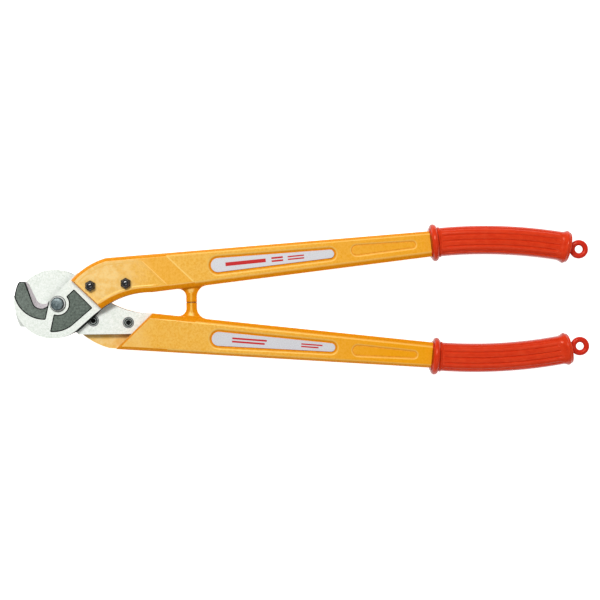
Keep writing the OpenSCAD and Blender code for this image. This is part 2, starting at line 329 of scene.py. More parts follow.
def smooth_object(name, bm, smooth_angle):
    """The bmesh as an object, smooth but for edges sharper than the angle."""
    mesh = bpy.data.meshes.new(name)
    bm.to_mesh(mesh)
    bm.free()
    mesh.polygons.foreach_set("use_smooth", [True] * len(mesh.polygons))
    mesh.set_sharp_from_angle(angle=math.radians(smooth_angle))
    return linked(name, mesh)


def mesh_object(name, bm, half, smooth_angle=35):
    """The bmesh in half coordinates as an object in the row frame."""
    bmesh.ops.remove_doubles(bm, verts=bm.verts, dist=1e-3)
    bmesh.ops.recalc_face_normals(bm, faces=bm.faces)
    turn = Matrix.Rotation(math.pi if half == LOWER else 0, 4, "X")
    bm.transform(Matrix.Translation(PIVOT) @ turn @ Matrix.Scale(MM, 4))
    return smooth_object(name, bm, smooth_angle)


def weigh_normals(piece):
    modifier = piece.modifiers.new("even_shading", "WEIGHTED_NORMAL")
    modifier.keep_sharp = True
    modifier.weight = 90


def soften(piece, bevel_mm):
    bevel = piece.modifiers.new("soft_edges", "BEVEL")
    bevel.width = bevel_mm * MM
    bevel.segments = 2
    bevel.limit_method = "ANGLE"
    bevel.angle_limit = math.radians(30)
    weigh_normals(piece)


def put(piece, half, material, slot_name, *nodes):
    """Gives a finished piece its material and body, and hides the CAD nodes that it stands for; slot_name is
    not used.
    """
    piece.data.materials.append(material)
    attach(piece, half)
    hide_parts(*nodes)


def hexagon_reach(degrees, half_flats):
    """Distance from a hexagon's middle to its edge."""
    return half_flats / math.cos(math.radians((degrees + 30) % 60 - 30))


def turned(bm, profile, at=(0, 0), steps=48, flats=None):
    """Surface of revolution of (radius, z) pairs, cut to a hexagon where flats is given."""
    rings = []
    for radius, z in profile:
        points = []
        for i in range(steps):
            degrees = 360 * i / steps
            r = min(radius, hexagon_reach(degrees, flats / 2)) if flats else radius
            points.append((*(Vector(at) + max(r, 1e-3) * direction(degrees)), z))
        rings.append(ring(bm, points))
    loft(bm, rings)
    return rings


def bored(bm, profile, flats=None, steps=72):
    """Closed surface of revolution round the pivot with a bore, hexagonal where flats is given."""
    rings = []
    for radius, z in profile:
        points = []
        for i in range(steps):
            degrees = 360 * i / steps
            r = min(radius, hexagon_reach(degrees, flats / 2)) if flats else radius
            points.append((*(r * direction(degrees)), z))
        rings.append(ring(bm, points))
    loft(bm, rings + rings[:1], caps=False)


def turned_size(node_name):
    """Bottom, top and radius of a CAD node on the pivot's axis, in half coordinates."""
    low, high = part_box(node_name)
    return (low.z - PIVOT.z) / MM, (high.z - PIVOT.z) / MM, (high.x - low.x) / 2 / MM


# ---- handles ----

def rim_share(a, b):
    """The lap's front edge and the shoulder have narrower rims than the long edges."""
    ends = (along_slant(a), along_slant(b))
    if max(abs(u - LAP_FRONT) for u in ends) < 0.01:
        return RIM_SHARE_LAP_FRONT
    if max(abs(u - SHOULDER) for u in ends) < 0.01:
        return RIM_SHARE_SHOULDER
    if min(a.x, b.x) > COLLAR_AT.x + SLEEVE_START:
        return RIM_SHARE_END
    return RIM_SHARE_OUTER if b.x > a.x else RIM_SHARE_INNER


def rim_profile():
    """(inset, drop) pairs of the wide sloping rim, from the outline to the crease at the face."""
    return [(RIM_W * across, RIM_DROP * down) for across, down in RIM_SHAPE]


def slot_steps(slot, margin, sink, wall, moat=0.0):
    """Loops of a recess with a sloping, softly rounded wall and a narrow moat at its foot."""
    loops = [(tapered_slot(slot, margin + out * (wall if out < 0 else 1)), -depth * (sink + moat))
             for out, depth in RECESS_SHAPE]
    return loops + [(tapered_slot(slot, margin - wall - 0.6), -sink)]


def panel_share(a, b):
    ends = (along_slant(a), along_slant(b))
    if max(abs(u - LAP_FRONT) for u in ends) < 0.01:
        return 0.35
    return 0.15 if max(abs(u - RAMP_START) for u in ends) < 0.01 else 1.0


def panel_steps(outline):
    """The lap's shallow sunk panel, which ends on the first slanted line."""
    region = uncrowded(before(outline, RAMP_START), LAP_FRONT, RAMP_START)
    first = inset(region, RIM_W + 1.3, panel_share)
    return [(first, 0.0), (inset(first, 0.25), -0.05), (inset(first, 1.1), -PAD_SUNK + 0.05),
            (inset(first, 1.35), -PAD_SUNK)]


def sheet(bm, outline, base, sign, recesses):
    """One moulded face with its rim and recesses. Returns its outermost ring."""
    rim = [(inset(outline, w, rim_share), base - drop) for w, drop in rim_profile()]
    rings = stepped(bm, rim, sign)
    holes = []
    for loops in recesses:
        steps = stepped(bm, [(points, base + z) for points, z in loops], sign)
        fill(bm, steps[-1])
        holes.append(steps[0])
    fill(bm, rings[-1], *holes)
    return rings[0]


def top_height(u):
    """Height of the +Z face: the lap, the ramp down and the long body."""
    pad = PAD_Z + PAD_SUNK
    knots = list(zip(RAMP_CUTS, (pad, pad - 0.5, FACE_Z + 0.45, FACE_Z)))
    if u <= knots[0][0]:
        return pad
    for (ua, za), (ub, zb) in zip(knots, knots[1:]):
        if u <= ub:
            return za + (zb - za) * (u - ua) / (ub - ua)
    return FACE_Z


def cut_across(bm, u):
    normal = Vector((*direction(SLANT), 0))
    parts = bm.verts[:] + bm.edges[:] + bm.faces[:]
    bmesh.ops.bisect_plane(bm, geom=parts, plane_co=normal * u, plane_no=normal, dist=1e-5)


def stop_post(bm):
    """Eight-sided post with a narrow front facet, flaring where it leaves the handle."""
    surface_y = inner_y(POST_X)
    end_y = POST_GAP
    levels = [surface_y + POST_ROOT]
    levels += [surface_y - POST_FILLET * i / POST_STEPS for i in range(POST_STEPS + 1)]
    levels += [end_y + POST_NOTCH + 0.1, end_y + POST_NOTCH, end_y]
    rings = []
    for y in levels:
        depth = min(max(surface_y - y, 0.0), POST_FILLET)
        flare = POST_FILLET - math.sqrt(POST_FILLET ** 2 - (POST_FILLET - depth) ** 2)
        trim = POST_NOTCH_DEPTH if y <= end_y + POST_NOTCH else 0.0
        w = POST_HALF + flare - trim
        t = POST_HALF + 0.12 * flare - trim
        facet = 1.1 + 0.42 * flare
        side = 0.45 * t
        upper = [(facet, t), (w - 0.9 - 0.2 * flare, side + 0.9), (w, side)]
        points = upper + [(x, -z) for x, z in reversed(upper)]
        points += [(-x, -z) for x, z in upper] + [(-x, z) for x, z in reversed(upper)]
        slope = math.tan(math.radians(INNER_SLOPE)) * (1 - depth / POST_FILLET)
        rings.append(ring(bm, [(POST_X + x, y + x * slope, z) for x, z in points]))
    loft(bm, rings)


def handle_core(bm):
    """The end inside the sleeve, and the round tenon that shows at the grip's end."""
    w, t = SLEEVE_HALF_W - SLEEVE_WALL, SLEEVE_HALF_T - SLEEVE_WALL
    stop = GRIP_LENGTH - FLANGE_HALF
    count = 18
    stations = [SLEEVE_START + 2 + (stop - SLEEVE_START - 2) * i / count for i in range(count + 1)]
    angles = [15 * i for i in range(24)]
    loft(bm, [swept_ring(bm, s, section(angles, w, t, CORE_CORNER)) for s in stations])
    tip = [(GRIP_LENGTH - FLANGE_HALF - 1, TENON_R), (GRIP_LENGTH + FLANGE_HALF - 1.4, TENON_R),
           (GRIP_LENGTH + FLANGE_HALF - 0.9, TENON_R - 0.5)]
    loft(bm, [swept_ring(bm, s, section(angles, r, r, r)) for s, r in tip])


def handle(half):
    bm = bmesh.new()
    lift = 1000
    outline = uncrowded(crossed(handle_outline(), SHOULDER), LAP_FRONT, SHOULDER)
    body = beyond(outline, SHOULDER)
    flare = PLATE_MARGIN + PLATE_FLARE
    plate = slot_steps(PLATE_SLOT, flare, PLATE_SINK, flare - 0.3, PLATE_MOAT)
    plain = slot_steps(PLAIN_SLOT, 0.0, PLAIN_SINK, PLAIN_WALL, PLAIN_MOAT)
    top = sheet(bm, outline, lift, 1, [plate, plain, panel_steps(outline)])
    band(bm, top, ring(bm, outline, TANG_TOP))
    bottom = sheet(bm, body, FACE_Z, -1, [plate, plain])
    band(bm, bottom, ring(bm, body, TANG_TOP))
    bm.faces.new(ring(bm, before(outline, SHOULDER), TANG_TOP))
    bmesh.ops.remove_doubles(bm, verts=bm.verts, dist=1e-3)
    for u in RAMP_CUTS:
        cut_across(bm, u)
    for v in bm.verts:
        if v.co.z > lift / 2:
            v.co.z += top_height(along_slant(v.co)) - lift
    stop_post(bm)
    handle_core(bm)
    piece = mesh_object(HALF_NAMES[half] + "_handle_moulding", bm, half, 30)
    weigh_normals(piece)
    put(piece, half, HANDLE_PLASTIC, "handle_plastic", HALF_NAMES[half] + "_handle")


# ---- grips ----

def grip_heading(s):
    return COLLAR_HEADING - math.degrees(s / BEND_R)


def swept_ring(bm, s, points):
    """A section's (sideways, up) points placed square to the grip's bent centreline at s."""
    centre = COLLAR_AT - BEND_R * direction(COLLAR_HEADING + 90)
    side = direction(grip_heading(s) + 90)
    at = centre + BEND_R * side
    return ring(bm, [(*(at + side * v), z) for v, z in points])


def section_radius(degrees, w, t, corner):
    """Distance from the middle of a rounded rectangle to its edge."""
    d = direction(degrees)
    c, s = abs(d.x), abs(d.y)
    if s * w <= c * (t - corner):
        return w / c
    if c * t <= s * (w - corner):
        return t / s
    middle = Vector((w - corner, t - corner))
    reach = c * middle.x + s * middle.y
    return reach + math.sqrt(max(reach * reach - middle.length_squared + corner * corner, 0))


def section(angles, w, t, corner, groove=0.0):
    points = []
    for a in angles:
        p = section_radius(a, w, t, corner) * direction(a)
        dip = groove_dip(a) * groove
        points.append((p.x, p.y - math.copysign(dip, p.y)))
    return points


GROOVES = [(i - (GROOVE_COUNT - 1) / 2) * GROOVE_PITCH for i in range(GROOVE_COUNT)]
GROOVE_STEPS = [(-1.0, 0.0), (-0.42, 0.32), (-0.12, 0.95), (0.12, 0.95), (0.42, 0.32), (1.0, 0.0)]


def groove_angles():
    """Angle of each groove's points on the sleeve's section, with the share of the full depth."""
    found = {}
    for middle in GROOVES:
        for out, depth in GROOVE_STEPS:
            x = middle + out * GROOVE_HALF
            y = SLEEVE_HALF_T
            over = abs(x) - (SLEEVE_HALF_W - SLEEVE_CORNER)
            if over > 0:
                y += math.sqrt(SLEEVE_CORNER ** 2 - over ** 2) - SLEEVE_CORNER
            a = round(math.degrees(math.atan2(y, x)), 3)
            found[a] = depth
            found[round(360 - a, 3)] = depth
    return found


GROOVE_ANGLES = groove_angles()


def groove_dip(degrees):
    return GROOVE_ANGLES.get(degrees, 0.0)


def sleeve_angles():
    """Even angles, with the grooves' own angles in place of those close to them."""
    even = [5 * i for i in range(72)]
    clear = [a for a in even if all(abs(a - g) > 1.4 for g in GROOVE_ANGLES)]
    return sorted(clear + list(GROOVE_ANGLES))


def bead_stations(at, half, radius, foot_w, foot_t, steps=8):
    """Stations of a round bead that stands up from the sleeve."""
    found = []
    for i in range(steps + 1):
        a = math.pi * (i / steps - 0.5)
        r = radius - half + half * math.cos(a)
        found.append((at + half * math.sin(a), r, r, r, 0.0))
    first = (at - half - 0.9, foot_w + 0.5, foot_t + 0.5, SLEEVE_CORNER, 0.0)
    last = (at + half + 0.9, foot_w + 0.5, foot_t + 0.5, SLEEVE_CORNER, 0.0)
    return [first] + found + [last]


def sleeve_stations():
    """(place, half width, half thickness, corner, groove depth) along the sleeve."""
    w, t, c = SLEEVE_HALF_W, SLEEVE_HALF_T, SLEEVE_CORNER
    stations = [(SLEEVE_START, w - 0.7, t - 0.7, c - 1, 0.0),
                (SLEEVE_START + 0.25, w - 0.2, t - 0.2, c, 0.0)]
    stations += bead_stations(0, COLLAR_HALF, COLLAR_R, w, t)
    stations += [(4.9, w + 0.9, t + 0.9, c, 0.0), (5.7, w + 0.8, t + 0.8, c, 0.0),
                 (6.3, w + 0.1, t + 0.1, c, 0.0), (7, w, t, c, 0.0), (GROOVE_FIRST - 0.8, w, t, c, 0.0)]
    count = 30
    run = GROOVE_LAST - GROOVE_FIRST
    stations += [(GROOVE_FIRST + run * i / count, w, t, c, GROOVE_DEPTH) for i in range(count + 1)]
    stations += [(GROOVE_LAST + 0.8, w, t, c, 0.0), (131.5, w, t, c, 0.0), (133, w + 0.3, t + 0.4, 9.6, 0.0),
                 (134.5, 15.7, 14.2, 12, 0.0), (135.8, 16.5, 16, 15.4, 0.0),
                 (136.8, FLANGE_R - 0.1, 17, 17, 0.0)]
    round_end = ((137.7, FLANGE_R), (138.5, 16.7), (139.1, 16.1), (139.6, 15.9), (140.2, 15.9),
                 (140.9, 15.5), (141.4, 14.8), (141.6, 13.9))
    return stations + [(s, r, r, r, 0.0) for s, r in round_end]


def grip(half):
    bm = bmesh.new()
    angles = sleeve_angles()
    outside = [swept_ring(bm, s, section(angles, w, t, c, g)) for s, w, t, c, g in sleeve_stations()]
    end = GRIP_LENGTH + FLANGE_HALF
    r = TENON_R + 0.1
    core = (SLEEVE_HALF_W - SLEEVE_WALL, SLEEVE_HALF_T - SLEEVE_WALL, CORE_CORNER)
    inside = [(end, r + 0.6, r + 0.6, r + 0.6), (end - 0.6, r, r, r), (GRIP_LENGTH - FLANGE_HALF, r, r, r)]
    count = 18
    run = GRIP_LENGTH - FLANGE_HALF - SLEEVE_START
    inside += [(GRIP_LENGTH - FLANGE_HALF - run * i / count, *core) for i in range(count + 1)]
    rings = outside + [swept_ring(bm, s, section(angles, *size)) for s, *size in inside]
    loft(bm, rings + rings[:1], caps=False)
    piece = mesh_object(HALF_NAMES[half] + "_grip_sleeve", bm, half, 40)
    put(piece, half, GRIP_VINYL, "grip_vinyl", HALF_NAMES[half] + "_grip")


# ---- hanging eyes ----

def eye_ring(bm, centre, turns=64):
    rings = []
    for i in range(turns):
        out = direction(360 * i / turns)
        points = []
        for j in range(EYE_SIDES):
            d = direction(360 * j / EYE_SIDES)
            points.append((*(centre + out * (EYE_RING_R + EYE_RING_HALF_W * d.x)), EYE_RING_HALF_T * d.y))
        rings.append(ring(bm, points))
    loft(bm, rings + rings[:1], caps=False)


def eye_shank(bm, centre, heading):
    ahead, side = direction(heading), direction(heading + 90)
    rings = []
    for x, spread in EYE_SHANK:
        points = []
        for j in range(EYE_SIDES):
            d = direction(360 * j / EYE_SIDES)
            at = centre + ahead * x + side * (EYE_SHANK_R * spread * d.x)
            points.append((*at, EYE_SHANK_R * 0.86 * d.y))
        rings.append(ring(bm, points))
    loft(bm, rings)


def hang_eye(half):
    """Ring and shank, made one skin by a fine remesh."""
    bm = bmesh.new()
    heading = grip_heading(GRIP_LENGTH)
    centre = COLLAR_AT - BEND_R * direction(COLLAR_HEADING + 90) + BEND_R * direction(heading + 90)
    centre += EYE_REACH * direction(heading)
    eye_ring(bm, centre)
    eye_shank(bm, centre, heading)
    piece = mesh_object(HALF_NAMES[half] + "_hang_eye_ring", bm, half, 180)
    remesh = piece.modifiers.new("one_skin", "REMESH")
    remesh.mode = "VOXEL"
    remesh.voxel_size = EYE_VOXEL * MM
    remesh.use_smooth_shade = True
    smooth = piece.modifiers.new("soften", "SMOOTH")
    smooth.factor = 0.5
    smooth.iterations = 8
    put(piece, half, EYE_PLASTIC, "eye_plastic", HALF_NAMES[half] + "_hang_eye")


# ---- fasteners ----

def cap_nut(half, place):
    bm = bmesh.new()
    r = NUT_FLATS / math.sqrt(3)
    z = PAD_Z
    profile = [(0, z), (r - 0.5, z), (r, z + 0.3), (r, z + NUT_HEX_H - 0.7), (r - 0.9, z + NUT_HEX_H - 0.05)]
    profile.append((NUT_DOME_R + 0.15, z + NUT_HEX_H))
    steps = 9
    for i in range(steps + 1):
        a = math.radians(90 * i / steps)
        profile.append((NUT_DOME_R * math.cos(a), z + NUT_HEX_H + (NUT_H - NUT_HEX_H) * math.sin(a)))
    turned(bm, profile, SCREWS[place], 60, NUT_FLATS)
    name = f"{HALF_NAMES[half]}_{place}_cap_nut"
    put(mesh_object(name + "_domed", bm, half, 30), half, BLACK_NUT, "black_nut", name)


def screw_profile():
    """(radius, z) pairs from the shank's end round to the ringed head and the socket's mouth."""
    r, top, end = SCREW_HEAD_R, SCREW_TOP, PAD_Z + NUT_HEX_H
    return [(0, end), (SCREW_SHANK_R, end), (SCREW_SHANK_R, top + 3.0), (r, top + 0.6), (r - 0.7, top),
            (r - 1.7, top), (r - 2.0, top + 0.5), (r - 2.5, top + 0.5), (r - 2.8, top),
            (SOCKET_R + 0.35, top), (SOCKET_R + 0.3, top + 0.02)]


def screw_socket(bm, at, mouth):
    """A hexagon socket that goes down from the mouth, a ring of 48 points."""
    floor_z = SCREW_TOP + SOCKET_DEPTH
    rings = [mouth]
    for radius, z in ((9, SCREW_TOP + 0.25), (9, floor_z), (0.8, floor_z + 0.5)):
        points = []
        for i in range(48):
            degrees = 7.5 * i
            points.append((*(at + min(radius, hexagon_reach(degrees, SOCKET_R)) * direction(degrees)), z))
        rings.append(ring(bm, points))
    loft(bm, rings, caps=False)
    bm.faces.new(rings[-1])


def tang_screw(half, place):
    """Countersunk screw with a ringed head, and near-black painted shade in its socket, groove and edge."""
    bm = bmesh.new()
    at = SCREWS[place]
    rings = turned(bm, screw_profile(), at, 48)
    caps = [f for f in bm.faces if len(f.verts) > 4 and f.calc_center_median().z < SCREW_TOP + 1]
    bmesh.ops.delete(bm, geom=caps, context="FACES_ONLY")
    screw_socket(bm, at, rings[-1])
    r = SCREW_HEAD_R
    # Socket, ring groove and outer edge take the near-black painted shade.
    for f in bm.faces:
        middle = f.calc_center_median()
        out = (middle.xy - at).length
        if middle.z < PAD_Z and (out < SOCKET_R + 0.2 or r - 2.6 < out < r - 1.75 or out > r - 0.5):
            f.material_index = 1
    name = f"{HALF_NAMES[half]}_{place}_tang_screw"
    piece = mesh_object(name + "_head", bm, half, 30)
    put(piece, half, SCREW_STEEL, "screw_steel", name)
    piece.data.materials.append(DARK_EDGE_SHADE)


def pivot_bolt():
    bm = bmesh.new()
    z0, z1, head_r = turned_size("pivot_bolt")
    seat = z1 - BOLT_HEAD_H
    profile = [(0, z0), (BOLT_SHANK_R - 0.9, z0), (BOLT_SHANK_R, z0 + 0.9), (BOLT_SHANK_R, seat),
               (head_r - 0.2, seat), (head_r, seat + 0.3), (head_r, z1 - 1.7), (head_r - 0.3, z1 - 1.2),
               (head_r - 0.8, z1 - 0.62), (head_r - 1.3, z1 - 0.62), (head_r - 1.7, z1 - 0.5),
               (head_r - 2.6, z1 - 0.3), (2.4, z1 - 0.05), (0, z1)]
    turned(bm, profile, (0, 0), 64)
    piece = mesh_object("pivot_bolt_turned", bm, UPPER, 30)
    put(piece, LOWER, PIVOT_STEEL, "pivot_steel", "pivot_bolt")


def pivot_washer():
    bm = bmesh.new()
    z0, z1, r = turned_size("pivot_washer")
    bore = PIVOT_BORE_R
    bored(bm, [(bore, z0), (r - 0.2, z0), (r, z0 + 0.2), (r, z1 - 0.7), (r - 0.7, z1),
               (bore + 0.2, z1), (bore, z1 - 0.2)])
    piece = mesh_object("pivot_washer_turned", bm, UPPER, 30)
    put(piece, LOWER, WASHER_STEEL, "washer_steel", "pivot_washer")


def pivot_nut():
    bm = bmesh.new()
    z0, z1, r = turned_size("pivot_nut")
    bore = PIVOT_BORE_R
    profile = [(bore, z0 + 0.6), (bore + 0.6, z0), (r - 1.2, z0), (r, z0 + 0.7), (r, z1 - 0.7),
               (r - 1.2, z1), (bore + 0.3, z1), (bore, z1 - 0.3)]
    bored(bm, profile, r * math.sqrt(3))
    piece = mesh_object("pivot_nut_turned", bm, UPPER, 25)
    put(piece, LOWER, PIVOT_STEEL, "pivot_steel", "pivot_nut")


# ---- blades ----

def draft_recesses(bm, height, away):
    """Slopes the recesses' walls. Returns the painted floors and the edging round them, which takes
    near-black painted shade.
    """
    floor = [f for f in bm.faces if all(abs(height(v)) < 0.02 for v in f.verts)]
    painted = set(floor)
    foot = [v for v in {v for f in floor for v in f.verts}
            if any(height(e.other_vert(v)) > 1 for e in v.link_edges)]
    made = bmesh.ops.inset_region(bm, faces=floor, thickness=WALL_DRAFT * MM, use_even_offset=False,
                                  use_boundary=True)
    for v in foot:
        v.co.z += away * WALL_FOOT * MM
    return painted, set(made["faces"])


def draft_heel(bm, height, away):
    """Leans the heel's wall back, so that the wall, dark with painted shade, shows from above as a line
    between the blades.
    """
    lean = Vector((HEEL_FACING.x, HEEL_FACING.y * away, 0))
    heel = [f for f in bm.faces if f.normal.dot(lean) > 0.995 and f.calc_area() > HEEL_MIN_AREA * MM * MM]
    for v in {v for f in heel for v in f.verts if height(v) > 1}:
        v.co -= lean * HEEL_DRAFT * MM


def finish_faces(bm, painted, edging):
    """Each face's place in the blade's list of materials; steep faces and the recess edging take the
    near-black painted shade.
    """
    for f in bm.faces:
        upward = abs(f.normal.z)
        if f in painted:
            f.material_index = 1
        elif upward < 0.45 or f in edging:
            f.material_index = 2
        elif upward < 0.97:
            f.material_index = 3


def blade(half):
    """The CAD blade with drafted recess walls, softened edges and a finish for each kind of face."""
    name, piece_name = BLADES[half]
    away = 1 if half == UPPER else -1
    bm = bmesh.new()
    bm.from_mesh(frame["nodes"][name].data)
    bmesh.ops.remove_doubles(bm, verts=bm.verts, dist=2e-3 * MM)
    bmesh.ops.dissolve_limit(bm, angle_limit=math.radians(0.5), verts=bm.verts, edges=bm.edges)
    floor_z = PIVOT.z + away * HOOK_T * MM

    def height(v):
        return (v.co.z - floor_z) * away / MM

    painted, edging = draft_recesses(bm, height, away)
    draft_heel(bm, height, away)
    bm.normal_update()
    finish_faces(bm, painted, edging)
    piece = smooth_object(piece_name, bm, 30)
    for material in (GROUND_STEEL, BLADE_PAINT, DARK_EDGE_SHADE, BEVEL_STEEL):
        piece.data.materials.append(material)
    soften(piece, 0.3)
    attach(piece, half)
    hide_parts(name)


# ---- name plates ----

def name_plate(half):
    bm = bmesh.new()
    base = FACE_Z - PLATE_SINK
    loops = [(0.0, base), (0.0, base + PLATE_T - 0.15), (-0.15, base + PLATE_T), (-0.6, base + PLATE_T)]
    sign = 1 if half == UPPER else -1
    rings = stepped(bm, [(tapered_slot(PLATE_SLOT, m), z) for m, z in loops], sign)
    fill(bm, rings[0])
    fill(bm, rings[-1])
    name = HALF_NAMES[half] + "_name_plate"
    piece = mesh_object(name + "_satin", bm, half, 30)
    weigh_normals(piece)
    put(piece, half, SILVER_PLATE, "silver_plate", name)


def plate_print(half, rows):
    """Plain red pinstripes on a plate, from (start, end, offset, half width) rows."""
    bm = bmesh.new()
    a, _, b, _ = PLATE_SLOT
    ahead = (b - a).normalized()
    side = Vector((-ahead.y, ahead.x))
    sign = 1 if half == UPPER else -1
    z = FACE_Z - PLATE_SINK + PLATE_T
    for start, end, offset, w in rows:
        corners = [(start, offset - w), (start, offset + w), (end, offset + w), (end, offset - w)]
        points = [a + ahead * x + side * y * sign for x, y in corners]
        loft(bm, [ring(bm, points, sign * (z - 0.05)), ring(bm, points, sign * (z + 0.04))])
    piece = mesh_object(HALF_NAMES[half] + "_plate_stripes", bm, half, 30)
    piece.data.materials.append(PLATE_RED)
    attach(piece, half)


# ---- materials ----

def srgb(r, g, b):
    """A colour given as 0 to 255 sRGB, in Blender's linear values."""
    def linear(v):
        v /= 255
        return v / 12.92 if v <= 0.04045 else ((v + 0.055) / 1.055) ** 2.4
    return (linear(r), linear(g), linear(b), 1.0)


class Finish:
    """A procedural material that is built node by node, in the piece's own coordinates."""

    def __init__(self, name, **sockets):
        self.material = bpy.data.materials.new(name)
        self.material.use_nodes = True
        self.tree = self.material.node_tree
        self.shader = self.tree.nodes["Principled BSDF"]
        self.place = self.tree.nodes.new("ShaderNodeTexCoord")
        for socket, value in sockets.items():
            self.shader.inputs[socket.replace("_", " ")].default_value = value

    def node(self, kind, inputs=(), **settings):
        made = self.tree.nodes.new("ShaderNode" + kind)
        for key, value in settings.items():
            setattr(made, key, value)
        for socket, value in dict(inputs).items():
            self.feed(made.inputs[socket], value)
        return made

    def feed(self, socket, value):
        if isinstance(value, bpy.types.NodeSocket):
            self.tree.links.new(value, socket)
        else:
            socket.default_value = value

    def noise(self, scale, detail=4.0, roughness=0.55, stretch=(1, 1, 1)):
        scaled = self.node("Mapping", {"Vector": self.place.outputs["Object"], "Scale": stretch})
        inputs = {"Vector": scaled.outputs[0], "Scale": scale, "Detail": detail, "Roughness": roughness}
        return self.node("TexNoise", inputs).outputs["Fac"]

    def spread(self, value, low, high, out_low=0.0, out_high=1.0):
        inputs = {"Value": value, "From Min": low, "From Max": high, "To Min": out_low, "To Max": out_high}
        return self.node("MapRange", inputs, clamp=True).outputs[0]

    def math(self, operation, a, b=0.0):
        return self.node("Math", {0: a, 1: b}, operation=operation).outputs[0]

    def blend(self, share, a, b):
        made = self.node("Mix", {0: share}, data_type="RGBA")
        self.feed(made.inputs[6], a)
        self.feed(made.inputs[7], b)
        return made.outputs[2]

    def coordinate(self, axis, output="Object"):
        split = self.node("SeparateXYZ", {0: self.place.outputs[output]})
        return split.outputs[axis]

    def bump(self, height, distance_mm, strength=1.0, base=None):
        made = self.node("Bump", {"Height": height, "Distance": distance_mm * MM, "Strength": strength})
        if base:
            self.feed(made.inputs["Normal"], base)
        return made.outputs[0]

    def colour(self, value):
        self.feed(self.shader.inputs["Base Color"], value)

    def roughness(self, value):
        self.feed(self.shader.inputs["Roughness"], value)

    def normal(self, value):
        self.feed(self.shader.inputs["Normal"], value)


def slant_distance(f, x, y):
    """along_slant for a shading point, in metres."""
    across = direction(SLANT)
    ahead = f.math("MULTIPLY", f.math("SUBTRACT", x, PIVOT.x), across.x)
    return f.math("ADD", ahead, f.math("MULTIPLY", f.math("ABSOLUTE", y), across.y))


def handle_face_colour(f, x, y, grain, mottle):
    """Flat faces: pale and patchy on the lap, deeper towards the grips; the deep orange there is partly the
    plastic's tone and partly painted shade, stronger on the lower half.
    """
    face = f.blend(grain, srgb(234, 164, 42), srgb(244, 192, 86))
    pale = f.blend(f.math("MULTIPLY", grain, 0.5), srgb(250, 216, 148), srgb(242, 190, 96))
    patchy = f.blend(f.math("MULTIPLY", mottle, 0.7), pale, srgb(236, 178, 76))
    lap = f.spread(x, PIVOT.x + 0.1, PIVOT.x + 0.06)
    face = f.blend(f.spread(lap, 0, 1, 0.1, 0.95), face, patchy)
    # Painted shade: the deep orange towards the grips is made stronger on the lower half.
    grip_end_tone_and_shade = f.math("MULTIPLY", f.spread(x, -0.1, 0.09), f.spread(y, 0.03, -0.03, 0.7, 1.0))
    return f.blend(f.math("MULTIPLY", grip_end_tone_and_shade, 0.95), face, srgb(242, 160, 6))


def handle_body_colour(f, grain, mottle):
    """Faces, a ramp darkened as painted shade, deep orange rims as painted shade on the slopes, and a pale
    painted highlight on creases and on the ramp's far line.
    """
    x, y, z = (f.coordinate(axis) for axis in "XYZ")
    up = f.math("ABSOLUTE", f.coordinate("Z", "Normal"))
    flat = f.spread(up, 0.976, 0.99)
    tilted = f.math("SUBTRACT", 1.0, flat)
    slant = slant_distance(f, x, y)
    beyond_ramp = f.math("GREATER_THAN", slant, RAMP_END * MM)
    lap_side = f.math("GREATER_THAN", f.math("MULTIPLY", y, f.math("SUBTRACT", z, PIVOT.z)), 0.0)
    ramp = f.math("MULTIPLY", f.math("GREATER_THAN", slant, RAMP_START * MM), lap_side)
    ramp = f.math("MULTIPLY", ramp, f.math("LESS_THAN", slant, RAMP_END * MM))
    face = handle_face_colour(f, x, y, grain, mottle)
    # Painted shade: the ramp's slope is darkened a little.
    face = f.blend(f.math("MULTIPLY", ramp, 0.4), face, srgb(234, 160, 34))
    # Painted shade: sloping rims take a deep orange, while flat faces keep a paler tone that is partly the
    # plastic's own and partly painted sheen.
    rim = f.blend(grain, srgb(224, 134, 2), srgb(236, 150, 6))
    depth = f.math("SUBTRACT", FACE_Z * MM, f.math("ABSOLUTE", f.math("SUBTRACT", z, PIVOT.z)))
    shallow = f.math("MULTIPLY", f.spread(depth, 1.1 * MM, 0.4 * MM), beyond_ramp)
    body = f.blend(f.math("MAXIMUM", flat, shallow), rim, face)
    # Painted highlight: a pale line on creases and along the ramp's far line.
    lap_crease = f.math("MULTIPLY", f.spread(up, 0.91, 0.955), f.math("SUBTRACT", 1.0, beyond_ramp))
    crease = f.math("MULTIPLY", tilted, f.math("MAXIMUM", f.math("MULTIPLY", shallow, 0.5), lap_crease))
    to_line = f.math("ABSOLUTE", f.math("SUBTRACT", slant, RAMP_END * MM))
    line = f.math("MULTIPLY", f.spread(to_line, 0.9 * MM, 0.4 * MM), f.math("MULTIPLY", lap_side, flat))
    painted_highlight = f.math("MULTIPLY", f.math("MAXIMUM", crease, line), 0.7)
    return f.blend(painted_highlight, body, srgb(255, 216, 126))


def painted_contact_shade(f):
    """Painted shade: a narrow dark band where the stop posts face each other, for the shadowed gap between
    them.
    """
    band_mask = f.spread(f.math("ABSOLUTE", f.coordinate("Y")), 0.9 * MM, 0.5 * MM)
    return f.math("MULTIPLY", band_mask, f.math("GREATER_THAN", f.coordinate("X"), PIVOT.x + 0.12))


def handle_plastic():
    """Moulded plastic: mottled faces, painted highlights on creases, deep orange rims painted as shade, a
    painted dark band at the stop posts, and a fine grain.
    """
    f = Finish("orange_handle_plastic", Specular_IOR_Level=0.4, Specular_Tint=srgb(255, 220, 150))
    grain = f.spread(f.noise(420, 5.0, 0.75), 0.36, 0.64)
    mottle = f.spread(f.noise(120, 6.0, 0.7), 0.42, 0.62)
    body = handle_body_colour(f, grain, mottle)
    # Painted shade at the stop posts' contact.
    f.colour(f.blend(f.math("MULTIPLY", painted_contact_shade(f), 0.85), body, srgb(140, 72, 0)))
    f.roughness(f.spread(grain, 0, 1, 0.24, 0.32))
    fine = f.noise(900, 3.0, 0.6)
    f.normal(f.bump(fine, 0.05, 0.5, f.bump(mottle, 0.04, 0.5)))
    return f.material


